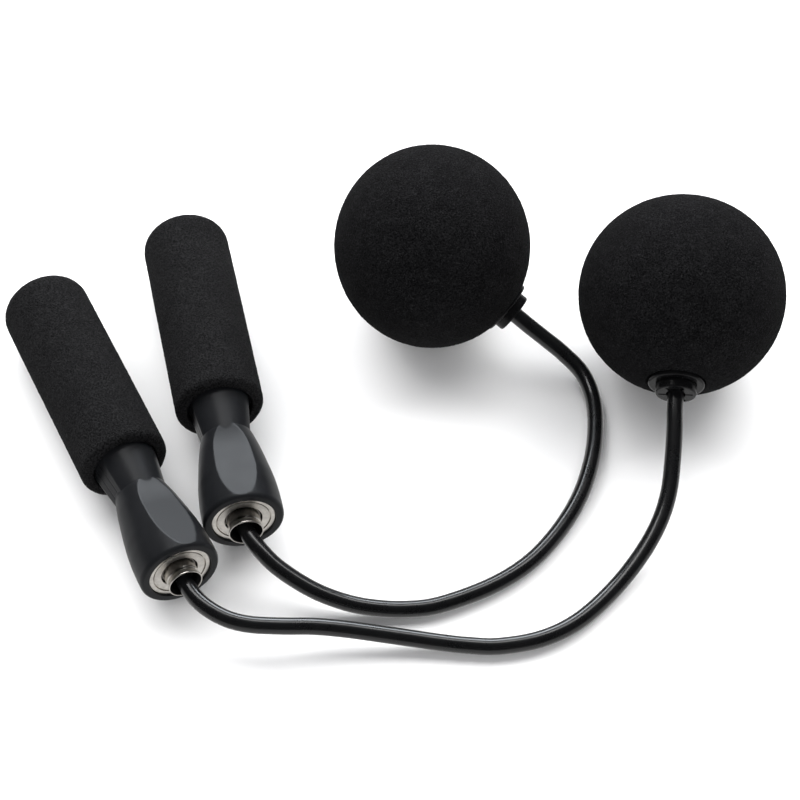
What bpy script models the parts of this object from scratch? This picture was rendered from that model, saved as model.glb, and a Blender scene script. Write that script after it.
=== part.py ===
"""Cordless jump rope: two foam-covered handles, each with its own short cord and foam ball.

The two units are alike. In each one a ball bearing in the nose of the handle carries a flared
sleeve, the cord runs out through that sleeve, and a foam ball is clamped on the cord's far end.
Both units lie on the ground: the grips on a flat of their outline, the balls beside them.

Metres, +Z up. Dimensions below are in millimetres and become metres where the meshes are made.
The origin is on the ground, under the middle of the pair without its cords.
"""
import math

import bmesh
import bpy
from mathutils import Matrix, Vector

MM = 0.001

# ---- driving dimensions, millimetres ---------------------------------------------------------
GRIP_RADIUS = 16.2
GRIP_SEGMENTS = 28
GRIP_NEAR = -52.5            # front face of the grip, measured from the nose's front face
GRIP_FAR = -142.0            # closed rear end of the grip
GRIP_FAR_ROUND = 8.0
GRIP_NEAR_ROUND = 2.5
AXIS_HEIGHT = GRIP_RADIUS * math.cos(math.pi / GRIP_SEGMENTS)   # a flat of the grip is on the ground

BEARING_RADIUS = 11.0        # 22 x 10 x 6 mm ball bearing
BEARING_BORE = 5.0
BEARING_WIDTH = 6.0
BEARING_FRONT = -0.8         # its front face, just inside the nose
BALL_COUNT = 7
BALL_RADIUS = 1.5
PITCH_RADIUS = 7.8

NOSE_RADIUS = 14.5
FACET_FRONT = 14.5           # distance of the two facets from the axis at the nose's front face
FACET_TAPER = 0.165          # how much closer to the axis they come for each millimetre of length
NECK_FLAT_FRONT = 3.84       # the same for the two flats on the neck's sides, which widen rearwards
NECK_FLAT_TAPER = -0.125

CORD_RADIUS = 3.0
FOAM_BALL_RADIUS = 37.2
CAP_END = 40.1               # the cord leaves the ball's socket this far from the ball's centre
CORD_TAIL = 12.3             # the cord ends this far from the ball's centre
CORD_HEAD = -13.7            # and starts here inside the handle

FIT = 0.3                    # gap between pieces that touch on the real object
TURNED_SEGMENTS = 24
CORD_STEP = 8.0              # spacing of the cord's points

# Each unit: nose centre on the ground plan, heading of the handle's axis from -Y towards +X,
# roll of the nose's facets, ball centre on the plan, direction of the ball's socket, and the
# cord's own route between the sleeve's lip and the socket.
UNITS = {
    "left": {
        "nose": (-72.0, -82.7),
        "heading": 25.0,
        "facet_roll": 17.0,
        "ball": (107.1, 28.4),
        "socket": (-0.10, -0.953, -0.285),
        "route": [
            (-69.6, -87.4, 15.4), (-64.6, -94.3, 14.9), (-56.8, -99.5, 13.8), (-48.3, -101.5, 12.5),
            (-37.3, -101.1, 10.8), (-25.8, -100.1, 9.2), (-14.8, -100.1, 7.5), (-3.3, -100.9, 5.9),
            (6.7, -101.7, 4.6), (17.7, -102.9, 3.6), (27.7, -103.9, 3.2), (38.2, -104.1, 3.1),
            (52.7, -100.9, 3.1), (65.7, -93.3, 3.1), (78.4, -80.4, 3.8), (88.5, -67.2, 6.0),
            (95.3, -55.5, 9.0), (99.2, -44.8, 12.6), (101.0, -34.0, 16.9), (102.1, -23.0, 21.4),
        ],
    },
    "right": {
        "nose": (-51.0, -60.2),
        "heading": 11.7,
        "facet_roll": 1.5,
        "ball": (15.7, 53.2),
        "socket": (0.772, -0.424, -0.474),
        "route": [
            (-49.2, -65.4, 15.4), (-44.2, -72.1, 14.0), (-38.0, -77.5, 11.6), (-26.6, -83.7, 8.0),
            (-15.1, -87.1, 5.2), (-4.8, -88.4, 3.7), (6.2, -88.5, 3.1), (17.7, -86.6, 3.1),
            (34.7, -79.1, 3.1), (47.7, -69.8, 3.1), (57.7, -58.1, 3.1), (66.3, -43.5, 3.1),
            (71.7, -29.0, 3.1), (75.1, -12.5, 3.1), (75.6, 5.0, 3.4), (72.0, 17.7, 5.2),
            (64.7, 25.4, 8.4), (58.7, 29.5, 11.2),
        ],
    },
}

FINISHES = {
    "grip_foam": ((0.018, 0.018, 0.019), 0.95, 0.0),
    "body_plastic": ((0.012, 0.012, 0.014), 0.30, 0.0),
    "bearing_steel": ((0.62, 0.58, 0.53), 0.22, 1.0),
    "cage_steel": ((0.45, 0.43, 0.40), 0.35, 1.0),
    "cord_vinyl": ((0.010, 0.010, 0.012), 0.12, 0.0),
    "socket_plastic": ((0.016, 0.016, 0.018), 0.28, 0.0),
    "ball_foam": ((0.015, 0.015, 0.016), 0.90, 0.0),
    "crimp_brass": ((0.60, 0.42, 0.18), 0.30, 1.0),
}


# ---- scene and materials ---------------------------------------------------------------------
def clear_scene():
    for obj in list(bpy.data.objects):
        bpy.data.objects.remove(obj, do_unlink=True)


def collection(name):
    group = bpy.data.collections.new(name)
    bpy.context.scene.collection.children.link(group)
    return group


def finish(name, base):
    colour, roughness, metallic = FINISHES[base]
    material = bpy.data.materials.new(name)
    material.use_nodes = True
    shader = material.node_tree.nodes["Principled BSDF"]
    shader.inputs["Base Color"].default_value = (*colour, 1.0)
    shader.inputs["Roughness"].default_value = roughness
    shader.inputs["Metallic"].default_value = metallic
    return material


def frame_empty(name, matrix, group):
    empty = bpy.data.objects.new(name, None)
    empty.empty_display_size = 0.01
    empty.matrix_world = matrix
    group.objects.link(empty)
    return empty


def place(name, mesh, parent, group, base, roll=0.0):
    """An object of its own material under a frame, turned about the frame's Z axis."""
    obj = bpy.data.objects.new(name, mesh)
    group.objects.link(obj)
    obj.parent = parent
    obj.rotation_euler = (0.0, 0.0, roll)
    obj.data.materials.append(finish(name + "_finish", base))
    return obj


def as_cutter(obj):
    obj.hide_render = True
    obj.display_type = "WIRE"
    return obj


# ---- shapes ----------------------------------------------------------------------------------
def arc(centre, radius, start, end, steps):
    """Points of a round stretch of a profile, angles in degrees from +X towards +Z."""
    points = []
    for i in range(steps + 1):
        angle = math.radians(start + (end - start) * i / steps)
        points.append((centre[0] + radius * math.cos(angle), centre[1] + radius * math.sin(angle)))
    return points


def turned(name, profile, parent, group, base, segments=TURNED_SEGMENTS, ring=True, roll=0.0):
    """A profile of (radius, height) in millimetres, swept round the frame's Z axis.

    It runs down the outer side from top to bottom. A ring's profile closes on itself, any
    other starts and ends on the axis.
    """
    mesh = bpy.data.meshes.new(name)
    count = len(profile)
    edges = [(i, i + 1) for i in range(count - 1)]
    if ring:
        edges.append((count - 1, 0))
    mesh.from_pydata([(r * MM, 0.0, z * MM) for r, z in profile], edges, [])
    obj = place(name, mesh, parent, group, base, roll)
    screw = obj.modifiers.new("Screw", "SCREW")
    screw.axis = "Z"
    screw.angle = math.tau
    screw.steps = segments
    screw.render_steps = segments
    screw.use_merge_vertices = True
    screw.merge_threshold = 0.000001
    return obj


def tube(name, top, bottom, inner, outer, parent, group, base, segments=TURNED_SEGMENTS):
    profile = [(outer, top), (outer, bottom), (inner, bottom), (inner, top)]
    return turned(name, profile, parent, group, base, segments)


def boolean(obj, operation, cutter):
    modifier = obj.modifiers.new(operation.title(), "BOOLEAN")
    modifier.operation = operation
    modifier.solver = "EXACT"
    modifier.object = cutter
    return modifier


# ---- frames ----------------------------------------------------------------------------------
def frame_matrix(z_axis, x_axis, origin):
    z_axis = Vector(z_axis).normalized()
    x_axis = (Vector(x_axis) - z_axis * z_axis.dot(Vector(x_axis))).normalized()
    y_axis = z_axis.cross(x_axis)
    matrix = Matrix((x_axis, y_axis, z_axis)).transposed().to_4x4()
    matrix.translation = Vector(origin) * MM
    return matrix


def handle_matrix(unit):
    """Z forward along the handle, Y up, origin at the middle of the nose's front face."""
    heading = math.radians(unit["heading"])
    forward = (math.sin(heading), -math.cos(heading), 0.0)
    sideways = (math.cos(heading), math.sin(heading), 0.0)
    return frame_matrix(forward, sideways, (*unit["nose"], AXIS_HEIGHT))


def ball_matrix(unit):
    """Z out through the socket, origin at the ball's centre."""
    out = Vector(unit["socket"]).normalized()
    sideways = Vector((0.0, 0.0, 1.0)).cross(out)
    return frame_matrix(out, sideways, (*unit["ball"], FOAM_BALL_RADIUS))


# ---- handle ----------------------------------------------------------------------------------
def foam_grip(side, parent, group):
    """Sponge sleeve, closed and rounded at the rear, with a mouth that the neck enters."""
    far_centre = (GRIP_RADIUS - GRIP_FAR_ROUND, GRIP_FAR + GRIP_FAR_ROUND)
    near_centre = (GRIP_RADIUS - GRIP_NEAR_ROUND, GRIP_NEAR - GRIP_NEAR_ROUND)
    profile = [(0.0, -130.3), (10.3, -130.3), (10.3, -56.3), (11.9, -55.8), (11.9, GRIP_NEAR)]
    profile += arc(near_centre, GRIP_NEAR_ROUND, 90, 0, 3)
    profile += arc(far_centre, GRIP_FAR_ROUND, 0, -90, 4)
    profile.append((0.0, GRIP_FAR))
    half_step = math.pi / GRIP_SEGMENTS
    turned(side + "_foam_grip", profile, parent, group, "grip_foam", GRIP_SEGMENTS, False, half_step)


def wedge(name, at_zero, taper, front, rear, parent, cutters, roll):
    """A long block whose faces across its X are at_zero from the axis at z = 0 and lean with taper."""
    block = bmesh.new()
    corner = math.sqrt(2.0)
    bmesh.ops.create_cone(
        block, cap_ends=True, segments=4, depth=(front - rear) * MM,
        radius1=(at_zero + taper * rear) * corner * MM,
        radius2=(at_zero + taper * front) * corner * MM,
    )
    bmesh.ops.rotate(block, verts=block.verts, matrix=Matrix.Rotation(math.pi / 4, 3, "Z"))
    bmesh.ops.scale(block, verts=block.verts, vec=(1.0, 4.0, 1.0))
    bmesh.ops.translate(block, verts=block.verts, vec=(0.0, 0.0, (front + rear) / 2 * MM))
    mesh = bpy.data.meshes.new(name)
    block.to_mesh(mesh)
    block.free()
    return as_cutter(place(name, mesh, parent, cutters, "body_plastic", roll))


def handle_body(side, unit, parent, group, cutters):
    """Nose with a facet above and below, neck with two side flats, and the grip's core tube."""
    nose = [
        (0.0, 0.0), (13.4, 0.0), (14.2, -0.5), (NOSE_RADIUS, -1.8), (NOSE_RADIUS, -5.0), (14.35, -10.0),
        (13.8, -16.0), (13.0, -21.0), (11.95, -27.0), (11.2, -31.0), (10.3, -34.8), (9.7, -37.2),
        (8.4, -40.5), (0.0, -40.5),
    ]
    body = turned(side + "_handle_body", nose, parent, group, "body_plastic", 36, False)
    roll = math.radians(-unit["facet_roll"])
    facets = wedge(side + "_nose_facets", FACET_FRONT, FACET_TAPER, 2.0, -41.0, parent, cutters,
                   roll + math.pi / 2)
    boolean(body, "INTERSECT", facets)

    neck = [
        (0.0, -28.0), (8.0, -28.0), (9.2, -35.5), (11.55, -52.5), (11.55, -55.4), (10.0, -56.0),
        (10.0, -128.0), (0.0, -128.0),
    ]
    neck_solid = as_cutter(turned(side + "_neck_solid", neck, parent, cutters, "body_plastic", 30, False))
    flats = wedge(side + "_neck_flats", NECK_FLAT_FRONT, NECK_FLAT_TAPER, -27.0, -129.0, parent, cutters,
                  roll)
    boolean(neck_solid, "INTERSECT", flats)
    boolean(body, "UNION", neck_solid)

    seat = BEARING_RADIUS + FIT
    rear_stop = BEARING_FRONT - BEARING_WIDTH - FIT
    bore = [
        (0.0, 3.0), (seat, 3.0), (seat, rear_stop), (9.6, rear_stop), (9.6, -10.0), (7.0, -16.0),
        (7.0, -131.0), (0.0, -131.0),
    ]
    bore_solid = as_cutter(turned(side + "_bore_solid", bore, parent, cutters, "body_plastic", 24, False))
    boolean(body, "DIFFERENCE", bore_solid)


def end_plug(side, parent, group):
    profile = [(0.0, -118.0), (6.0, -118.0), (6.7, -119.5), (6.7, -128.3), (9.7, -128.3), (9.7, -130.0),
               (0.0, -130.0)]
    turned(side + "_end_plug", profile, parent, group, "body_plastic", ring=False)


# ---- bearing ---------------------------------------------------------------------------------
def bearing(side, fixed, spinning, cage_frame, group, cutters):
    """Deep-groove bearing: its outer ring stays in the handle, its inner ring on the sleeve."""
    middle = BEARING_FRONT - BEARING_WIDTH / 2
    half = BEARING_WIDTH / 2

    outer = [
        (BEARING_RADIUS - 0.3, half), (BEARING_RADIUS, half - 0.3), (BEARING_RADIUS, 0.3 - half),
        (BEARING_RADIUS - 0.3, -half), (9.9, -half), (9.9, -2.2), (9.0, -2.2), (9.0, -1.45),
        (9.6, -0.6), (9.6, 0.6), (9.0, 1.45), (9.0, 2.2), (9.9, 2.2), (9.9, half),
    ]
    outer = [(r, z + middle) for r, z in outer]
    turned(side + "_bearing_outer_ring", outer, fixed, group, "bearing_steel")

    inner = [
        (6.2, half), (6.4, half - 0.2), (6.4, 1.45), (6.0, 0.7), (6.0, -0.7), (6.4, -1.45),
        (6.4, 0.2 - half), (6.2, -half), (BEARING_BORE, -half), (BEARING_BORE, half),
    ]
    inner = [(r, z + middle) for r, z in inner]
    turned(side + "_bearing_inner_ring", inner, spinning, group, "bearing_steel")

    for face, sign in (("front", 1), ("rear", -1)):
        far, near = middle + sign * 2.85, middle + sign * 2.5
        shield = [(9.6, max(far, near)), (9.6, min(far, near)), (6.8, min(far, near)), (6.8, max(far, near))]
        turned(f"{side}_bearing_{face}_shield", shield, fixed, group, "bearing_steel")

    cage = tube(side + "_bearing_cage", middle + 2.1, middle - 2.1, 7.1, 8.5, cage_frame, group,
                "cage_steel", BALL_COUNT * 4)
    for i in range(BALL_COUNT):
        angle = math.tau * i / BALL_COUNT
        spot = Vector((PITCH_RADIUS * math.cos(angle), PITCH_RADIUS * math.sin(angle), middle)) * MM
        pocket = as_cutter(ball_piece(f"{side}_pocket_{i + 1}", BALL_RADIUS + 0.4, 2, spot, cage_frame,
                                      cutters, "cage_steel"))
        boolean(cage, "DIFFERENCE", pocket)
        ball_piece(f"{side}_bearing_ball_{i + 1}", BALL_RADIUS, 1, spot, cage_frame, group, "bearing_steel")


def ball_piece(name, radius, subdivisions, spot, parent, group, base):
    sphere = bmesh.new()
    bmesh.ops.create_icosphere(sphere, subdivisions=subdivisions, radius=radius * MM)
    mesh = bpy.data.meshes.new(name)
    sphere.to_mesh(mesh)
    sphere.free()
    obj = place(name, mesh, parent, group, base)
    obj.location = spot
    return obj


# ---- sleeve and what holds the cord in it ----------------------------------------------------
def sleeve(side, parent, group):
    """Flared eyelet: its flange covers the inner ring's face and its lip guides the cord."""
    profile = [
        (5.4, 5.6), (5.85, 5.5), (5.95, 5.1), (5.6, 4.5), (5.2, 3.8), (5.15, 3.0), (5.4, 2.1), (5.9, 1.6),
        (6.2, 1.1), (6.2, BEARING_FRONT + FIT), (4.7, BEARING_FRONT + FIT), (4.7, -9.6), (4.1, -9.6),
        (4.1, 3.2), (4.5, 4.3), (5.1, 5.1),
    ]
    turned(side + "_swivel_sleeve", profile, parent, group, "bearing_steel")


def sleeve_nut(side, parent, group):
    back = BEARING_FRONT - BEARING_WIDTH - FIT
    tube(side + "_sleeve_nut", back, back - 2.0, 5.0, 6.6, parent, group, "bearing_steel")


def cord_stop(side, parent, group):
    """Crimped cup on the cord's inner end, too wide to pass through the sleeve."""
    hole = CORD_RADIUS + FIT
    bottom = CORD_HEAD - FIT
    profile = [(5.1, -10.0), (5.1, -16.6), (0.0, -16.6)]
    profile = [(0.0, bottom), (hole, bottom), (hole, -10.0)] + profile
    turned(side + "_cord_stop", profile, parent, group, "crimp_brass", 20, False)


# ---- ball and socket -------------------------------------------------------------------------
def foam_ball(side, parent, group):
    """Foam ball with a blind hole for the socket and a seat for its flange."""
    seat_radius = 10.7
    rim = math.degrees(math.acos(seat_radius / FOAM_BALL_RADIUS))
    profile = [(0.0, 4.0), (6.4, 4.0), (6.4, 34.3), (seat_radius, 34.3)]
    profile += arc((0.0, 0.0), FOAM_BALL_RADIUS, rim, -90, 13)
    profile[-1] = (0.0, -FOAM_BALL_RADIUS)
    turned(side + "_foam_ball", profile, parent, group, "ball_foam", 26, False)


def ball_socket(side, parent, group):
    """Flange on the ball's surface with a hollow stem that reaches into it."""
    profile = [
        (9.8, 36.6), (10.3, 36.1), (10.3, 34.6), (6.1, 34.6), (6.1, 8.0), (4.7, 8.0), (4.7, 20.0),
        (3.5, 20.0), (3.5, 36.6),
    ]
    turned(side + "_ball_socket", profile, parent, group, "socket_plastic")


def socket_cap(side, parent, group, cutters):
    """Collet cap that clamps the cord, with six slots across its end."""
    profile = [(7.0, CAP_END), (7.5, CAP_END - 0.5), (7.5, 36.9), (3.5, 36.9), (3.5, CAP_END)]
    cap = turned(side + "_socket_cap", profile, parent, group, "socket_plastic")
    for i in range(3):
        block = bmesh.new()
        bmesh.ops.create_cube(block, size=1.0)
        bmesh.ops.scale(block, verts=block.verts, vec=(12.4 * MM, 0.9 * MM, 2.4 * MM))
        bmesh.ops.translate(block, verts=block.verts, vec=(0.0, 0.0, CAP_END * MM))
        mesh = bpy.data.meshes.new(f"{side}_cap_slot_{i + 1}")
        block.to_mesh(mesh)
        block.free()
        slot = as_cutter(place(f"{side}_cap_slot_{i + 1}", mesh, parent, cutters, "socket_plastic",
                               math.radians(60 * i + 7)))
        boolean(cap, "DIFFERENCE", slot)


def cord_ferrule(side, parent, group):
    """Crimped cup on the cord's outer end, inside the socket's stem."""
    hole = CORD_RADIUS + FIT
    bottom = CORD_TAIL - FIT
    profile = [(0.0, bottom), (hole, bottom), (hole, 18.5), (4.4, 18.5), (4.4, 9.5), (0.0, 9.5)]
    turned(side + "_cord_ferrule", profile, parent, group, "crimp_brass", 20, False)


# ---- cord ------------------------------------------------------------------------------------
def smooth_path(points, step):
    """Even steps along a Catmull-Rom curve through the points."""
    guide = [points[0] * 2 - points[1]] + points + [points[-1] * 2 - points[-2]]
    fine = []
    for a, b, c, d in zip(guide, guide[1:], guide[2:], guide[3:]):
        for i in range(16):
            t = i / 16
            fine.append(0.5 * (2 * b + (c - a) * t + (2 * a - 5 * b + 4 * c - d) * t ** 2
                               + (3 * b - a - 3 * c + d) * t ** 3))
    fine.append(points[-1])
    lengths = [0.0]
    for a, b in zip(fine, fine[1:]):
        lengths.append(lengths[-1] + (b - a).length)
    count = round(lengths[-1] / step)
    path = []
    k = 0
    for i in range(count + 1):
        target = lengths[-1] * i / count
        while k < len(fine) - 2 and lengths[k + 1] < target:
            k += 1
        share = (target - lengths[k]) / (lengths[k + 1] - lengths[k])
        path.append(fine[k].lerp(fine[k + 1], min(share, 1.0)))
    return path


def cord_points(unit):
    """The whole route in millimetres: along the sleeve, over the ground, into the socket."""
    handle = handle_matrix(unit)
    ball = ball_matrix(unit)
    inside = [handle @ Vector((0.0, 0.0, z * MM)) / MM for z in (CORD_HEAD, -8.0, -2.0)]
    outside = [ball @ Vector((0.0, 0.0, z * MM)) / MM for z in (47.0, 43.0, 36.0, 28.0, 20.0, CORD_TAIL)]
    return inside + [Vector(p) for p in unit["route"]] + outside


def cord(side, unit, group):
    curve = bpy.data.curves.new(side + "_cord", "CURVE")
    curve.dimensions = "3D"
    curve.bevel_depth = CORD_RADIUS * MM
    curve.bevel_resolution = 2
    curve.use_fill_caps = True
    path = smooth_path(cord_points(unit), CORD_STEP)
    spline = curve.splines.new("POLY")
    spline.points.add(len(path) - 1)
    for point, spot in zip(spline.points, path):
        point.co = (*(spot * MM), 1.0)
    obj = bpy.data.objects.new(side + "_cord", curve)
    obj.data.materials.append(finish(side + "_cord_finish", "cord_vinyl"))
    group.objects.link(obj)


# ---- assembly --------------------------------------------------------------------------------
def build_unit(side, unit, group, cutters):
    axis = handle_matrix(unit)
    fixed = frame_empty(side + "_handle_frame", axis, group)
    spinning = frame_empty(side + "_sleeve_frame", axis, group)
    caged = frame_empty(side + "_cage_frame", axis, group)
    ball = frame_empty(side + "_ball_frame", ball_matrix(unit), group)

    foam_grip(side, fixed, group)
    handle_body(side, unit, fixed, group, cutters)
    end_plug(side, fixed, group)
    bearing(side, fixed, spinning, caged, group, cutters)
    sleeve(side, spinning, group)
    sleeve_nut(side, spinning, group)
    cord_stop(side, spinning, group)
    foam_ball(side, ball, group)
    ball_socket(side, ball, group)
    socket_cap(side, ball, group, cutters)
    cord_ferrule(side, ball, group)
    cord(side, unit, group)


def main():
    clear_scene()
    parts = collection("cordless_jump_rope")
    cutters = collection("cutters")
    for side, unit in UNITS.items():
        build_unit(side, unit, parts, cutters)
    bpy.context.view_layer.update()
    for obj in parts.objects:
        if obj.type == "MESH":
            obj.data.shade_smooth()
            obj.data.set_sharp_from_angle(angle=math.radians(35))


main()
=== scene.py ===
"""Cordless jump rope, the looks: two foam-covered handles, two glossy cords, two foam balls.

Each handle has a faceted plastic nose with a bright ball bearing in it. A flared sleeve turns in
the bearing and the cord comes out of it. The cord's far end is clamped in a small plastic socket
on a foam ball. Shapes are given in millimetres and become metres where the meshes are made.
"""
import math

import bmesh
import bpy
from mathutils import Matrix, Vector, noise


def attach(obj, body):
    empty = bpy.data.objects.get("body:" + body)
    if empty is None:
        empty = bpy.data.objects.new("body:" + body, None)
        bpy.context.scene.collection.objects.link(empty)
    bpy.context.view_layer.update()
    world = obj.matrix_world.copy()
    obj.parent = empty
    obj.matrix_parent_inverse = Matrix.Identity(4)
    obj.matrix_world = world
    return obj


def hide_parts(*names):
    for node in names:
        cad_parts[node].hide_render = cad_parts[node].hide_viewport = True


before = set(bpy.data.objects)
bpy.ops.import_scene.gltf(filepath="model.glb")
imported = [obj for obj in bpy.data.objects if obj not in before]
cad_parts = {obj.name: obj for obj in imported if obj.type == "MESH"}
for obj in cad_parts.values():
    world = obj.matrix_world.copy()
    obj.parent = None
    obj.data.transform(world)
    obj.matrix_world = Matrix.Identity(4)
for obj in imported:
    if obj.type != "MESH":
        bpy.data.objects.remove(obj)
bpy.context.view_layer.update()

MM = 0.001

# Millimetres from here on. Along a handle, lengths run back from the nose's front face.
GRIP_RADIUS = 16.2
AXIS_HEIGHT = GRIP_RADIUS * math.cos(math.pi / 28)   # the grip lies on one of its 28 CAD flats
NOSE_RADIUS = 14.5
RIM_RADIUS = 13.4            # flat front of the nose, inside its rounded rim
RIM_ROUND = 1.8              # length of that rounding
FACET_FRONT = 14.5           # the facets' distance from the axis at the nose's front face
FACET_TAPER = 0.165          # how much closer they come for each millimetre of length
FACET_EASING = 0.006         # how they curve out again behind FACET_EASED_FROM
FACET_EASED_FROM = 25.0
NECK_START = 28.0
NECK_FLAT_SHARE = 0.9        # the neck's side flats are this share of its radius from the axis
MOULD_LINE_DEPTH = 0.12
MOULD_LINE_HEIGHT = 1.9      # above and below the middle of a side flat
MOULD_LINE_WIDTH = 0.22
SHAPED_LENGTH = 55.0         # behind this the neck and core tube are plainly round
BEARING_MIDDLE = -3.8
BEARING_HALF_WIDTH = 3.0
CORD_RADIUS = 3.0
CORD_HEAD = -13.7            # where the cord starts inside the handle
CORD_TAIL = 12.3             # where it ends, from the ball's centre
CORD_STEP = 2.5
BALL_RADIUS = 37.2
SOCKET_SEAT = 10.7           # radius of the hole in the ball that takes the flange
CAP_END = 40.1               # the cap's outer face, from the ball's centre

SECTORS = 8                  # a turned piece is made as this many equal sectors
CORNER_STEPS = 4             # segments in a profile's rounded corner
WELD = 0.0000005             # metres

# Nose and ball are centres on the ground plan, heading turns the handle from -Y towards +X,
# facet_roll leans the upper facet towards +X, ball_scale puts the ball a little out of round,
# socket is the way the cord leaves the ball, and route is the cord's own path between them.
UNITS = {
    "left": {
        "nose": (-72.0, -82.7),
        "heading": 25.0,
        "facet_roll": 17.0,
        "ball": (107.1, 28.4),
        "ball_scale": (1.02, 0.99, 1.0),
        "socket": (-0.10, -0.953, -0.285),
        "route": [
            (-69.6, -87.4, 15.4), (-64.6, -94.3, 14.9), (-56.8, -99.5, 13.8), (-48.3, -101.5, 12.5),
            (-37.3, -101.1, 10.8), (-25.8, -100.1, 9.2), (-14.8, -100.1, 7.5), (-3.3, -100.9, 5.9),
            (6.7, -101.7, 4.6), (17.7, -102.9, 3.6), (27.7, -103.9, 3.2), (38.2, -104.1, 3.1),
            (52.7, -100.9, 3.1), (65.7, -93.3, 3.1), (78.4, -80.4, 3.8), (88.5, -67.2, 6.0),
            (95.3, -55.5, 9.0), (99.2, -44.8, 12.6), (101.0, -34.0, 16.9), (102.1, -23.0, 21.4),
        ],
    },
    "right": {
        "nose": (-51.0, -60.2),
        "heading": 11.7,
        "facet_roll": 1.5,
        "ball": (15.7, 53.2),
        "ball_scale": (0.983, 1.035, 1.0),
        "socket": (0.772, -0.424, -0.474),
        "route": [
            (-49.2, -65.4, 15.4), (-44.2, -72.1, 14.0), (-38.0, -77.5, 11.6), (-26.6, -83.7, 8.0),
            (-15.1, -87.1, 5.2), (-4.8, -88.4, 3.7), (6.2, -88.5, 3.1), (17.7, -86.6, 3.1),
            (34.7, -79.1, 3.1), (47.7, -69.8, 3.1), (57.7, -58.1, 3.1), (66.3, -43.5, 3.1),
            (71.7, -29.0, 3.1), (75.1, -12.5, 3.1), (75.6, 5.0, 3.4), (72.0, 17.7, 5.2),
            (64.7, 25.4, 8.4), (58.7, 29.5, 11.2),
        ],
    },
}


# ---- places ----------------------------------------------------------------------------------
def frame_matrix(z_axis, x_axis, origin):
    z_axis = Vector(z_axis).normalized()
    x_axis = (Vector(x_axis) - z_axis * z_axis.dot(Vector(x_axis))).normalized()
    y_axis = z_axis.cross(x_axis)
    matrix = Matrix((x_axis, y_axis, z_axis)).transposed().to_4x4()
    matrix.translation = Vector(origin) * MM
    return matrix


def handle_matrix(unit):
    """Z forward along the handle, Y up, origin at the middle of the nose's front face."""
    heading = math.radians(unit["heading"])
    forward = (math.sin(heading), -math.cos(heading), 0.0)
    sideways = (math.cos(heading), math.sin(heading), 0.0)
    return frame_matrix(forward, sideways, (*unit["nose"], AXIS_HEIGHT))


def ball_matrix(unit):
    """Z out through the socket, origin at the ball's centre."""
    out = Vector(unit["socket"]).normalized()
    sideways = Vector((0.0, 0.0, 1.0)).cross(out)
    return frame_matrix(out, sideways, (*unit["ball"], BALL_RADIUS))


# ---- camera ----------------------------------------------------------------------------------
def make_camera():
    data = bpy.data.cameras.new("camera")
    data.lens = 115.9
    data.sensor_width = 36.0
    data.clip_start = 0.05
    data.clip_end = 20.0
    camera = bpy.data.objects.new("camera", data)
    camera.location = (0.0037, -0.6127, 0.7319)
    camera.rotation_euler = (math.radians(40.37), 0.0, 0.0)
    bpy.context.scene.collection.objects.link(camera)
    bpy.context.scene.camera = camera


# ---- shader sums -----------------------------------------------------------------------------
class Value:
    """A node's output. Python operators on it add Math nodes."""

    def __init__(self, finish, socket):
        self.finish = finish
        self.socket = socket

    def maths(self, operation, first, second):
        return self.finish.node("ShaderNodeMath", {"operation": operation}, {0: first, 1: second})

    def __add__(self, other):
        return self.maths("ADD", self, other)

    def __radd__(self, other):
        return self.maths("ADD", other, self)

    def __mul__(self, other):
        return self.maths("MULTIPLY", self, other)

    def __rmul__(self, other):
        return self.maths("MULTIPLY", other, self)


class Finish:
    """A material under construction. Pattern scales are cycles per metre."""

    def __init__(self, name, roughness=0.5, metallic=0.0, **constants):
        self.material = bpy.data.materials.new(name)
        self.material.use_nodes = True
        self.tree = self.material.node_tree
        self.shader = self.tree.nodes["Principled BSDF"]
        self.shader.inputs["Roughness"].default_value = roughness
        self.shader.inputs["Metallic"].default_value = metallic
        for socket, value in constants.items():
            self.shader.inputs[socket.replace("_", " ")].default_value = value

    def join(self, socket, value):
        if isinstance(value, Value):
            self.tree.links.new(value.socket, socket)
        elif hasattr(value, "__len__") and len(value) == 3 and socket.type == "RGBA":
            socket.default_value = (*value, 1.0)
        else:
            socket.default_value = value

    def node(self, kind, settings=None, inputs=None, output=0):
        made = self.tree.nodes.new(kind)
        for name, value in (settings or {}).items():
            if name == "stops":
                ramp = made.color_ramp.elements
                while len(ramp) < len(value):
                    ramp.new(1.0)
                for element, (place, grey) in zip(ramp, value):
                    element.position = place
                    element.color = (grey, grey, grey, 1.0)
            else:
                setattr(made, name, value)
        for name, value in (inputs or {}).items():
            self.join(made.inputs[name], value)
        return Value(self, made.outputs[output])

    def place(self, matrix=None):
        """Object coordinates, or those of a frame such as a handle's own."""
        where = self.node("ShaderNodeTexCoord", output="Object")
        if matrix is None:
            return where
        return self.node("ShaderNodeMapping", {"vector_type": "TEXTURE"}, {
            "Vector": where, "Location": matrix.translation, "Rotation": matrix.to_euler()})

    def noise(self, where, scale, detail=2.0, roughness=0.5):
        return self.node("ShaderNodeTexNoise", None, {
            "Vector": where, "Scale": scale, "Detail": detail, "Roughness": roughness})

    def cells(self, where, scale):
        return self.node("ShaderNodeTexVoronoi", None, {"Vector": where, "Scale": scale})

    def ramp(self, value, *stops):
        return self.node("ShaderNodeValToRGB", {"stops": stops}, {"Fac": value})

    def mix(self, share, first, second):
        inputs = {0: share, 6: first, 7: second}
        return self.node("ShaderNodeMix", {"data_type": "RGBA"}, inputs, 2)

    def colour(self, value):
        self.join(self.shader.inputs["Base Color"], value)

    def roughness(self, value):
        self.join(self.shader.inputs["Roughness"], value)

    def bump(self, height, depth_mm, strength=1.0):
        normal = self.node("ShaderNodeBump", None, {
            "Height": height, "Distance": depth_mm * MM, "Strength": strength})
        self.join(self.shader.inputs["Normal"], normal)


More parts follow.
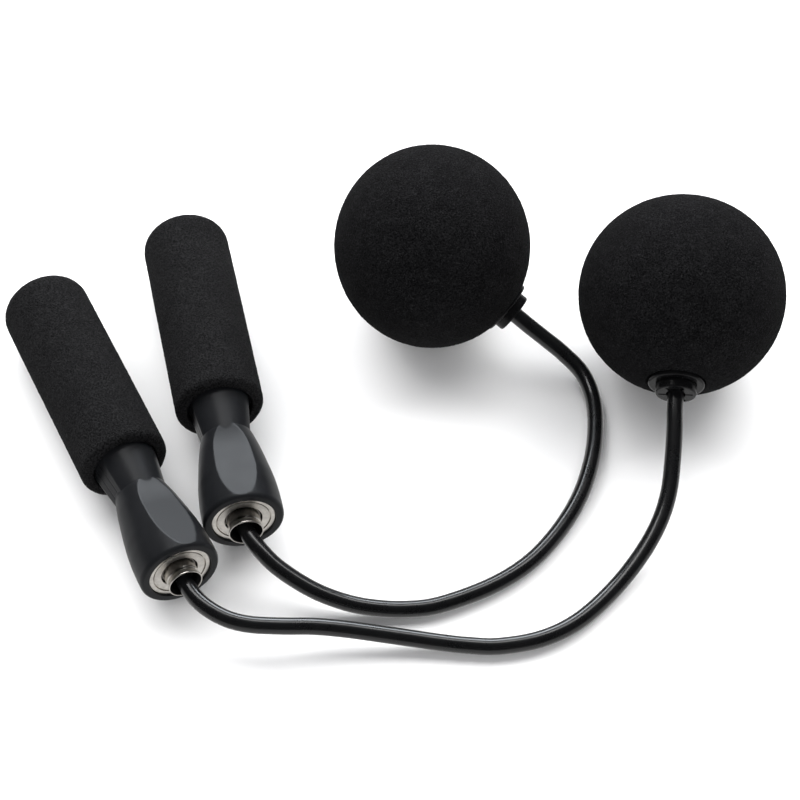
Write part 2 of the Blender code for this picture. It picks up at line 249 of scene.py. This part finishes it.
# ---- finishes --------------------------------------------------------------------------------
def grip_foam():
    """Closed-cell sponge: an open, grainy skin in charcoal."""
    finish = Finish("grip_sponge", roughness=0.95, Specular_IOR_Level=0.08)
    where = finish.place()
    grain = finish.noise(where, 1900.0, 2.0, 0.6)
    pores = finish.cells(where, 1500.0)
    patches = finish.noise(where, 90.0, 2.0)
    skin = finish.ramp(grain * 0.62 + pores * 0.38, (0.32, 0.0), (0.66, 1.0))
    tone = skin * (0.75 + patches * 0.5)
    finish.colour(finish.mix(tone, (0.0012, 0.0012, 0.0014), (0.0155, 0.0155, 0.0163)))
    finish.bump(grain * 0.55 + pores * 0.6, 0.62)
    return finish.material


def ball_foam():
    """Finer, suede-like foam skin with faint pale specks."""
    finish = Finish("ball_sponge", roughness=0.93, Specular_IOR_Level=0.05)
    where = finish.place()
    grain = finish.noise(where, 2100.0, 2.0, 0.6)
    pores = finish.cells(where, 1700.0)
    blotches = finish.noise(where, 140.0, 3.0, 0.6)
    specks = finish.ramp(finish.noise(where, 1500.0, 1.0), (0.64, 0.0), (0.72, 1.0))
    skin = finish.ramp(grain * 0.7 + pores * 0.3, (0.38, 0.0), (0.64, 1.0))
    tone = skin * (0.45 + blotches * 1.1)
    base = finish.mix(tone, (0.0008, 0.0008, 0.0010), (0.0115, 0.0115, 0.0122))
    finish.colour(finish.mix(specks * 0.5, base, (0.032, 0.032, 0.033)))
    finish.bump(grain * 0.6 + pores * 0.5, 0.52)
    return finish.material


def body_plastic(matrix):
    """Moulded near-black plastic with a satin polish."""
    finish = Finish("moulded_black", roughness=0.3, Specular_IOR_Level=0.2)
    where = finish.place(matrix)
    texture = finish.noise(where, 1600.0, 2.0)
    rub = finish.noise(where, 160.0, 3.0, 0.6)
    finish.colour(finish.mix(rub, (0.0065, 0.0070, 0.0080), (0.0110, 0.0115, 0.0130)))
    finish.roughness(0.27 + rub * 0.12 + texture * 0.03)
    finish.bump(texture * 0.4 + finish.noise(where, 240.0, 1.0), 0.010)
    return finish.material


def turned_metal(name, matrix, colour, roughness=0.16):
    """Bright turned metal with the lathe's rings in it."""
    finish = Finish(name, roughness=roughness, metallic=1.0)
    where = finish.place(matrix)
    flat = finish.node("ShaderNodeVectorMath", {"operation": "MULTIPLY"},
                       {0: where, 1: (1.0, 1.0, 0.0)})
    across = finish.node("ShaderNodeVectorMath", {"operation": "LENGTH"}, {0: flat}, 1)
    along = finish.node("ShaderNodeSeparateXYZ", None, {0: where}, 2)
    rings = finish.node("ShaderNodeCombineXYZ", None, {0: across, 1: along})
    lines = finish.noise(rings, 5200.0, 2.0, 0.6)
    handling = finish.noise(where, 420.0, 3.0, 0.6)
    dull = tuple(c * 0.78 for c in colour)
    finish.colour(finish.mix(finish.ramp(handling, (0.35, 0.0), (0.7, 1.0)), colour, dull))
    finish.roughness(roughness + lines * 0.07 + handling * 0.08)
    finish.bump(lines, 0.006)
    return finish.material


def cord_vinyl():
    """Glossy black vinyl, a little uneven as extruded sheathing is."""
    finish = Finish("cord_vinyl_gloss", roughness=0.16, Coat_Weight=0.5, Coat_Roughness=0.05)
    where = finish.place()
    waves = finish.noise(where, 130.0, 2.0, 0.5)
    specks = finish.noise(where, 1400.0, 2.0, 0.6)
    finish.colour(finish.mix(waves, (0.0035, 0.0036, 0.0040), (0.0065, 0.0066, 0.0072)))
    finish.roughness(0.20 + waves * 0.12 + specks * 0.05)
    finish.bump(waves + specks * 0.04, 0.05)
    return finish.material


def socket_plastic():
    """Glossier black plastic, for the ball's flange and cap."""
    finish = Finish("socket_black", roughness=0.2, Specular_IOR_Level=0.22)
    where = finish.place()
    texture = finish.noise(where, 1300.0, 2.0)
    rub = finish.noise(where, 300.0, 2.0)
    finish.colour(finish.mix(rub, (0.0030, 0.0030, 0.0033), (0.0060, 0.0060, 0.0065)))
    finish.roughness(0.14 + rub * 0.10)
    finish.bump(texture, 0.012)
    return finish.material


# ---- mesh making -----------------------------------------------------------------------------
def rounded(profile, ring=True):
    """Profile points (radius, height), where a third number is how far that corner is rounded."""
    points = []
    last = len(profile) - 1
    for i, corner in enumerate(profile):
        here = Vector(corner[:2])
        if len(corner) < 3 or (not ring and i in (0, last)):
            points.append(tuple(here))
            continue
        back = here + (Vector(profile[i - 1][:2]) - here).normalized() * corner[2]
        following = Vector(profile[(i + 1) % (last + 1)][:2])
        ahead = here + (following - here).normalized() * corner[2]
        for k in range(CORNER_STEPS + 1):
            t = k / CORNER_STEPS
            points.append(tuple(back * (1 - t) ** 2 + here * 2 * t * (1 - t) + ahead * t ** 2))
    return points


def sweep(mesh, profile, segments, ring):
    """Adds a profile swept right round Z to the bmesh, in metres: one sector, then its copies."""
    verts = [mesh.verts.new((r * MM, 0.0, z * MM)) for r, z in profile]
    pairs = list(zip(verts, verts[1:]))
    if ring:
        pairs.append((verts[-1], verts[0]))
    edges = [mesh.edges.new(pair) for pair in pairs]
    sector = math.tau / SECTORS
    known = set(mesh.faces)
    bmesh.ops.spin(mesh, geom=verts + edges, cent=(0, 0, 0), axis=(0, 0, 1), dvec=(0, 0, 0),
                   angle=sector, steps=segments // SECTORS, use_merge=False, use_duplicate=False)
    faces = [face for face in mesh.faces if face not in known]
    corners = {vert for face in faces for vert in face.verts}
    sides = {edge for face in faces for edge in face.edges}
    piece = list(corners) + list(sides) + faces
    for i in range(1, SECTORS):
        copy = bmesh.ops.duplicate(mesh, geom=piece)["geom"]
        moved = [part for part in copy if isinstance(part, bmesh.types.BMVert)]
        bmesh.ops.rotate(mesh, verts=moved, cent=(0, 0, 0),
                         matrix=Matrix.Rotation(sector * i, 3, "Z"))


def close_up(mesh):
    """Merges the seams and poles, then turns every face outwards."""
    bmesh.ops.remove_doubles(mesh, verts=mesh.verts, dist=WELD)
    bmesh.ops.recalc_face_normals(mesh, faces=mesh.faces)


def lathe(profile, segments=128, ring=True):
    """A turned piece. A ring's profile closes on itself, any other starts and ends on the axis."""
    mesh = bmesh.new()
    sweep(mesh, rounded(profile, ring), segments, ring)
    close_up(mesh)
    return mesh


def evened(obj):
    """Clean shading on hard pieces: flats stay flat and only the rounded edges turn."""
    obj.data.set_sharp_from_angle(angle=math.radians(50))
    modifier = obj.modifiers.new("Even shading", "WEIGHTED_NORMAL")
    modifier.keep_sharp = True
    modifier.weight = 50


def settle(name, mesh, matrix, material, body, node, hard=True):
    """Turns a bmesh into a finished piece in its place, on its body."""
    mesh.transform(matrix)
    data = bpy.data.meshes.new(name)
    mesh.to_mesh(data)
    mesh.free()
    data.shade_smooth()
    obj = bpy.data.objects.new(name, data)
    bpy.context.scene.collection.objects.link(obj)
    data.materials.append(material)
    if hard:
        evened(obj)
    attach(obj, body)
    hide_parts(node)
    return obj


def carve(mesh, cutters):
    """Cuts closed bmeshes out of a bmesh with exact booleans."""
    data = bpy.data.meshes.new("carving")
    mesh.to_mesh(data)
    target = bpy.data.objects.new("carving", data)
    bpy.context.scene.collection.objects.link(target)
    tools = []
    for cutter in cutters:
        tool_data = bpy.data.meshes.new("tool")
        cutter.to_mesh(tool_data)
        cutter.free()
        tool = bpy.data.objects.new("tool", tool_data)
        bpy.context.scene.collection.objects.link(tool)
        modifier = target.modifiers.new("Cut", "BOOLEAN")
        modifier.operation = "DIFFERENCE"
        modifier.solver = "EXACT"
        modifier.object = tool
        tools.append(tool)
    shown = target.evaluated_get(bpy.context.evaluated_depsgraph_get())
    mesh.clear()
    mesh.from_mesh(shown.to_mesh())
    shown.to_mesh_clear()
    for spent in tools + [target]:
        data = spent.data
        bpy.data.objects.remove(spent, do_unlink=True)
        bpy.data.meshes.remove(data)
    close_up(mesh)
    return mesh


def roughen(mesh, depth_mm, grain_mm, seed):
    """Moves every point in or out a little, so the foam's outline isn't perfectly clean."""
    offset = Vector((seed, -seed, 2.0 * seed))
    mesh.normal_update()
    for vert in mesh.verts:
        spot = vert.co / (grain_mm * MM) + offset
        swell = noise.noise(spot) + 0.5 * noise.noise(spot * 2.1)
        vert.co += vert.normal * swell * depth_mm * MM


# ---- cord ------------------------------------------------------------------------------------
def smooth_path(points, step):
    """Even steps along a Catmull-Rom curve through the points."""
    guide = [points[0] * 2 - points[1]] + points + [points[-1] * 2 - points[-2]]
    fine = []
    for a, b, c, d in zip(guide, guide[1:], guide[2:], guide[3:]):
        for i in range(16):
            t = i / 16
            curved = (2 * a - 5 * b + 4 * c - d) * t ** 2 + (3 * b - a - 3 * c + d) * t ** 3
            fine.append(0.5 * (2 * b + (c - a) * t + curved))
    fine.append(points[-1])
    lengths = [0.0]
    for a, b in zip(fine, fine[1:]):
        lengths.append(lengths[-1] + (b - a).length)
    count = round(lengths[-1] / step)
    path = []
    k = 0
    for i in range(count + 1):
        target = lengths[-1] * i / count
        while k < len(fine) - 2 and lengths[k + 1] < target:
            k += 1
        share = (target - lengths[k]) / (lengths[k + 1] - lengths[k])
        path.append(fine[k].lerp(fine[k + 1], min(share, 1.0)))
    return path


def make_cord(side, unit, material):
    """One cord, from inside the sleeve along the ground to inside the ball's socket."""
    handle, ball = handle_matrix(unit), ball_matrix(unit)
    inside = [handle @ Vector((0.0, 0.0, z * MM)) / MM for z in (CORD_HEAD, -8.0, -2.0)]
    route = [Vector(point) for point in unit["route"]]
    outside = [ball @ Vector((0.0, 0.0, z * MM)) / MM
               for z in (47.0, 43.0, 36.0, 28.0, 20.0, CORD_TAIL)]
    path = smooth_path(inside + route + outside, CORD_STEP)
    curve = bpy.data.curves.new(side + "_vinyl_cord", "CURVE")
    curve.dimensions = "3D"
    curve.bevel_depth = CORD_RADIUS * MM
    curve.bevel_resolution = 8
    curve.use_fill_caps = True
    spline = curve.splines.new("POLY")
    spline.points.add(len(path) - 1)
    for point, spot in zip(spline.points, path):
        point.co = (*(spot * MM), 1.0)
    spline.use_smooth = True
    obj = bpy.data.objects.new(side + "_vinyl_cord", curve)
    bpy.context.scene.collection.objects.link(obj)
    curve.materials.append(material)
    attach(obj, side + "_line")
    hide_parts(side + "_cord")
    length = sum((b - a).length for a, b in zip(path, path[1:])) * MM
    tuple(path[0] * MM)


# ---- handle ----------------------------------------------------------------------------------
# Tables of (length, radius).
BARREL = [(1.8, 14.5), (5.0, 14.5), (10.0, 14.35), (16.0, 13.8), (21.0, 13.0), (27.0, 11.95),
          (31.0, 11.2), (34.8, 10.3), (37.2, 9.7), (40.5, 8.4)]
NECK = [(28.0, 8.0), (35.5, 9.2), (52.5, 11.55), (55.4, 11.55), (56.0, 10.0), (128.0, 10.0)]


def between(table, length):
    """Straight interpolation in a table of (length, radius)."""
    if length <= table[0][0]:
        return table[0][1]
    for (a, ra), (b, rb) in zip(table, table[1:]):
        if length <= b:
            return ra + (rb - ra) * (length - a) / (b - a)
    return table[-1][1]


def eased(table, length):
    """The same table with its corners softened over three millimetres."""
    spread = (-1.5, -0.75, 0.0, 0.75, 1.5)
    weights = (1, 3, 4, 3, 1)
    return sum(w * between(table, length + s) for s, w in zip(spread, weights)) / sum(weights)


def smaller(a, b, soft):
    """The smaller of two radii, rounded where they cross."""
    share = max(soft - abs(a - b), 0.0) / soft
    return min(a, b) - share * share * soft / 4


def barrel_radius(length):
    if length < RIM_ROUND:
        rise = math.sqrt(max(0.0, 1.0 - (1.0 - length / RIM_ROUND) ** 2))
        return RIM_RADIUS + (NOSE_RADIUS - RIM_RADIUS) * rise
    return eased(BARREL, length)


def nose_radius(length, angle):
    """Outline of the nose: a round barrel with a tapering facet above and another below."""
    reach = FACET_FRONT - FACET_TAPER * length
    reach += FACET_EASING * max(length - FACET_EASED_FROM, 0.0) ** 2
    facing = max(abs(math.cos(angle)), 0.2)
    return smaller(barrel_radius(length), reach / facing, 0.14)


def neck_radius(length, angle):
    """Outline of the neck: a cone with a flat on either side, each with two fine mould lines."""
    cone = between(NECK, length)
    facing = max(abs(math.sin(angle)), 0.2)
    height = abs(math.cos(angle)) * cone
    line = MOULD_LINE_DEPTH * math.exp(-((height - MOULD_LINE_HEIGHT) / MOULD_LINE_WIDTH) ** 2)
    return smaller(cone, (cone * NECK_FLAT_SHARE - line) / facing, 0.10)


def body_radius(length, angle):
    """The larger of nose and neck, at an angle from the middle of the upper facet."""
    neck = neck_radius(length, angle) if length > NECK_START else 0.0
    return -smaller(-nose_radius(length, angle), -neck, 0.12)


def handle_shell(side, unit, matrix, material):
    """Nose, neck and core tube in one closed shell, with the bearing's seat bored in its front."""
    lengths = [RIM_ROUND * (1 - math.cos(math.pi / 2 * i / 9)) for i in range(1, 10)]
    lengths += [RIM_ROUND + 0.45 * i for i in range(1, 68)]     # barrel
    lengths += [32.3 + 0.22 * i for i in range(36)]             # waist
    lengths += [41.0, 44.0, 48.0, 52.5, 54.0, 55.4]             # neck
    outline = [(11.55, 0.0), (12.4, 0.0), (RIM_RADIUS, 0.0)]
    for length in lengths:
        barrel = barrel_radius(length) if length < 40.0 else 0.0
        neck = between(NECK, length) if length > NECK_START else 0.0
        outline.append((max(barrel, neck), -length))
    mesh = bmesh.new()
    sweep(mesh, outline, 360, False)
    upper_facet = math.radians(90.0 - unit["facet_roll"])
    for vert in mesh.verts:
        length = -vert.co.z / MM
        if 0.001 < length < SHAPED_LENGTH:
            angle = math.atan2(vert.co.y, vert.co.x)
            radius = body_radius(length, angle - upper_facet) * MM
            vert.co.x, vert.co.y = radius * math.cos(angle), radius * math.sin(angle)
    inner = rounded([
        (11.55, -55.4), (10.0, -56.0), (10.0, -128.0, 0.4), (7.0, -128.0, 0.4), (7.0, -16.0),
        (9.6, -10.0), (9.6, -7.1), (11.4, -7.1), (11.4, -0.2), (11.55, 0.0),
    ], ring=False)
    sweep(mesh, inner, 360, False)
    close_up(mesh)
    settle(side + "_nose_and_neck", mesh, matrix, material, side + "_handle",
           side + "_handle_body")


def grip_sleeve(side, matrix, material, seed):
    """Foam sleeve: open round the neck, closed and rounded at the rear."""
    profile = [(0.0, -130.3), (10.3, -130.3), (10.3, -56.3), (11.9, -55.8), (11.9, -52.9, 0.3)]
    profile += [(11.9 + 0.2 * i, -52.5) for i in range(2, 10)]
    near = [(13.7 + 2.5 * math.sin(a), -55.0 + 2.5 * math.cos(a))
            for a in (math.pi / 2 * i / 8 for i in range(9))]
    side_wall = [(GRIP_RADIUS, -55.0 - 0.75 * i) for i in range(1, 105)]
    far = [(8.2 + 8.0 * math.cos(a), -134.0 - 8.0 * math.sin(a))
           for a in (math.pi / 2 * i / 18 for i in range(1, 19))]
    end = [(8.2 - 0.75 * i, -142.0) for i in range(1, 10)] + [(0.0, -142.0)]
    mesh = lathe(profile + near + side_wall + far + end, 144, ring=False)
    roughen(mesh, 0.10, 1.3, seed)
    grip = settle(side + "_grip_sleeve", mesh, matrix, material, side + "_handle",
                  side + "_foam_grip", hard=False)


def bearing(side, matrix, steel, pressed, race_painted_shade):
    """Outer ring, pressed shield with a groove round it, and the inner ring set a little back."""
    def ring(name, profile, material, body, node):
        seated = [(radius, height + BEARING_MIDDLE, *corner) for radius, height, *corner in profile]
        settle(side + name, lathe(seated), matrix, material, side + body,
               side + node)

    front, rear = BEARING_HALF_WIDTH, -BEARING_HALF_WIDTH
    ring("_outer_race", [
        (11.3, front, 0.25), (11.3, rear, 0.25), (9.9, rear, 0.1), (9.9, -2.2), (9.0, -2.2),
        (9.0, -1.45), (9.6, -0.6), (9.6, 0.6), (9.0, 1.45), (9.0, 1.9), (9.75, 1.9),
        (9.75, front, 0.15),
    ], steel, "_handle", "_bearing_outer_ring")
    # The inner ring takes the darker grey cage steel: painted shade for the dark gap round the
    # sleeve's base.
    ring("_inner_race", [
        (6.2, 2.2, 0.2), (6.2, 1.45), (6.0, 0.7), (6.0, -0.7), (6.4, -1.45), (6.4, rear, 0.2),
        (5.0, rear, 0.2), (5.0, 2.2, 0.2),
    ], race_painted_shade, "_line", "_bearing_inner_ring")
    ring("_front_shield", [
        (9.37, 2.88, 0.12), (9.37, 2.0), (6.75, 2.0), (6.75, 2.88, 0.12), (8.7, 2.88),
        (8.78, 2.84), (8.86, 2.88),
    ], pressed, "_handle", "_bearing_front_shield")


def flared_sleeve(side, matrix, steel, bore):
    """Thin-walled eyelet: a plain band, a shallow groove and a flare up to a narrow lip."""
    mesh = lathe([
        (5.8, 4.85, 0.08), (6.15, 4.8, 0.12), (6.2, 4.4, 0.15), (5.8, 3.7, 0.3), (5.5, 2.9, 0.35),
        (5.45, 2.2, 0.15), (5.85, 1.9, 0.15), (5.9, 1.4, 0.2), (5.9, -1.55, 0.1), (4.7, -1.55),
        (4.7, -9.6, 0.2), (4.1, -9.6, 0.2), (4.1, -0.8, 0.3), (5.0, 0.4, 0.4), (5.05, 2.6, 0.5),
        (5.6, 4.1, 0.3),
    ])
    # Faces looking into the bore get the near-black shaded_bore metal: painted shade for the dim
    # inside of the eyelet.
    for face in mesh.faces:
        spot = face.calc_center_median() / MM
        inward = face.normal.dot(Vector((spot.x, spot.y, 0.0))) < 0.0
        if inward and -1.5 < spot.z < 4.4:
            face.material_index = 1
    sleeve = settle(side + "_flared_sleeve", mesh, matrix, steel, side + "_line",
                    side + "_swivel_sleeve")
    sleeve.data.materials.append(bore)


# ---- ball ------------------------------------------------------------------------------------
def sponge_ball(side, unit, matrix, material, seed):
    """Foam ball, slightly out of round, with the socket's hole bored in it."""
    opening = math.asin(SOCKET_SEAT / BALL_RADIUS)
    count = 150
    profile = [(0.0, 4.0), (6.4, 4.0), (6.4, 34.3), (8.5, 34.3), (SOCKET_SEAT, 34.3),
               (SOCKET_SEAT, 35.0)]
    for i in range(count):
        angle = opening + (math.pi - opening) * i / count
        profile.append((BALL_RADIUS * math.sin(angle), BALL_RADIUS * math.cos(angle)))
    profile.append((0.0, -BALL_RADIUS))
    mesh = lathe(profile, 256, ring=False)
    roughen(mesh, 0.13, 1.1, seed)
    centre = Matrix.Translation(matrix.translation)
    out_of_round = centre @ Matrix.Diagonal((*unit["ball_scale"], 1.0)) @ centre.inverted()
    ball = settle(side + "_sponge_ball", mesh, out_of_round @ matrix, material, side + "_line",
                  side + "_foam_ball", hard=False)


def ball_socket(side, matrix, material):
    """Flange with its stem, and the slotted collet cap that grips the cord."""
    flange = lathe([
        (10.3, 36.6, 0.9), (10.3, 34.6, 0.2), (6.1, 34.6), (6.1, 8.0, 0.3), (4.7, 8.0, 0.3),
        (4.7, 20.0), (3.5, 20.0), (3.5, 36.6, 0.2),
    ])
    settle(side + "_socket_flange", flange, matrix, material, side + "_line",
           side + "_ball_socket")
    cap = lathe([(7.5, CAP_END, 0.7), (7.5, 36.9, 0.2), (3.5, 36.9), (3.5, CAP_END, 0.3)])
    slots = []
    for i in range(3):
        block = bmesh.new()
        bmesh.ops.create_cube(block, size=1.0)
        bmesh.ops.scale(block, verts=block.verts, vec=(12.4 * MM, 0.9 * MM, 2.4 * MM))
        bmesh.ops.translate(block, verts=block.verts, vec=(0.0, 0.0, CAP_END * MM))
        bmesh.ops.rotate(block, verts=block.verts, cent=(0, 0, 0),
                         matrix=Matrix.Rotation(math.radians(60 * i + 7), 3, "Z"))
        slots.append(block)
    settle(side + "_collet_cap", carve(cap, slots), matrix, material, side + "_line",
           side + "_socket_cap")


# ---- ground and light ------------------------------------------------------------------------
def make_ground():
    """Pale paper. Glossy pieces mirror the dimmer floor_sheen panel in place of it."""
    mesh = bmesh.new()
    bmesh.ops.create_grid(mesh, x_segments=2, y_segments=2, size=4.0)
    data = bpy.data.meshes.new("ground")
    mesh.to_mesh(data)
    mesh.free()
    ground = bpy.data.objects.new("ground", data)
    ground.location = (0.0, 0.0, -0.0002)
    ground.visible_glossy = False
    finish = Finish("pale_ground", roughness=0.6)
    paper = finish.noise(finish.place(), 30.0)
    finish.colour(finish.mix(paper, (0.86, 0.86, 0.86), (0.88, 0.88, 0.88)))
    data.materials.append(finish.material)
    bpy.context.scene.collection.objects.link(ground)


def softbox(name, place, width, height, watts, shines=True, lights=True, tint=(1.0, 1.0, 1.0),
            aim=(0.0, 0.0, 0.0)):
    """A rectangular soft light. It may be left out of reflections, or show only in them."""
    data = bpy.data.lights.new(name, "AREA")
    data.shape = "RECTANGLE"
    data.size, data.size_y = width, height
    data.energy = watts
    data.color = tint
    lamp = bpy.data.objects.new(name, data)
    lamp.location = place
    lamp.rotation_euler = (Vector(aim) - Vector(place)).to_track_quat("-Z", "Y").to_euler()
    lamp.visible_glossy = shines
    lamp.visible_diffuse = lights
    lamp.visible_camera = False
    bpy.context.scene.collection.objects.link(lamp)


def make_light():
    """Broad soft keys behind the object, a weak fill in front, and panels for the reflections."""
    scene = bpy.context.scene
    scene.view_settings.view_transform = "Standard"
    world = bpy.data.worlds.new("studio")
    scene.world = world
    world.use_nodes = True
    background = world.node_tree.nodes["Background"]
    background.inputs["Color"].default_value = (0.97, 0.97, 1.0, 1.0)
    background.inputs["Strength"].default_value = 0.35
    world.cycles_visibility.glossy = False
    softbox("key_middle", (0.0, 0.75, 1.1), 2.6, 1.1, 26.0, shines=False)
    softbox("key_left", (-0.95, 1.0, 0.95), 1.4, 1.2, 29.0, shines=False)
    softbox("key_right", (0.95, 1.0, 0.95), 1.4, 1.2, 29.0, shines=False)
    softbox("front_fill", (0.0, -1.2, 0.8), 1.6, 1.0, 9.0, shines=False)
    softbox("rear_panel", (0.0, 1.3, 0.85), 1.0, 0.55, 15.0, lights=False,
            tint=(0.90, 0.95, 1.0))
    softbox("top_panel", (0.0, 0.45, 1.25), 1.2, 0.3, 5.0, lights=False)
    softbox("floor_sheen", (0.0, 0.0, -0.0001), 3.0, 3.0, 17.0, lights=False,
            aim=(0.0, 0.0, 1.0))


# ---- the whole object ------------------------------------------------------------------------
def dress_inner_nodes(side, steel, cage_grey_and_race_shade, plastic, brass):
    """The pieces inside the handle and the ball keep their CAD shape."""
    balls = [f"bearing_ball_{i}" for i in range(1, 8)]
    hidden = {steel: ["bearing_rear_shield", "sleeve_nut", *balls], cage_grey_and_race_shade: ["bearing_cage"],
              plastic: ["end_plug"], brass: ["cord_stop", "cord_ferrule"]}
    for material, names in hidden.items():
        for name in names:
            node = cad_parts[f"{side}_{name}"]
            for material_slot in node.material_slots:
                material_slot.material = material


def main():
    make_camera()
    vinyl, sponge, suede, socket = cord_vinyl(), grip_foam(), ball_foam(), socket_plastic()
    for side, unit in UNITS.items():
        make_cord(side, unit, vinyl)
    for seed, (side, unit) in enumerate(UNITS.items(), start=3):
        handle, ball = handle_matrix(unit), ball_matrix(unit)
        plastic = body_plastic(handle)
        steel = turned_metal("bright_nickel", handle, (0.88, 0.84, 0.78), 0.24)
        pressed = turned_metal("pressed_steel", handle, (0.92, 0.88, 0.82), 0.36)
        # Near-black metal for the inside of the sleeve's bore: painted shade.
        bore = turned_metal("shaded_bore", handle, (0.10, 0.10, 0.10), 0.4)
        # Darker grey steel: its own tone on the hidden cage, painted shade on the inner ring, which
        # shows.
        cage_grey_and_race_shade = turned_metal("grey_cage_and_race_shade", handle, (0.35, 0.33, 0.31), 0.3)
        brass = turned_metal("crimped_brass", handle, (0.60, 0.42, 0.18), 0.25)
        handle_shell(side, unit, handle, plastic)
        grip_sleeve(side, handle, sponge, seed)
        bearing(side, handle, steel, pressed, cage_grey_and_race_shade)
        flared_sleeve(side, handle, steel, bore)
        sponge_ball(side, unit, ball, suede, seed + 10)
        ball_socket(side, ball, socket)
        dress_inner_nodes(side, steel, cage_grey_and_race_shade, plastic, brass)
    make_ground()
    make_light()


main()
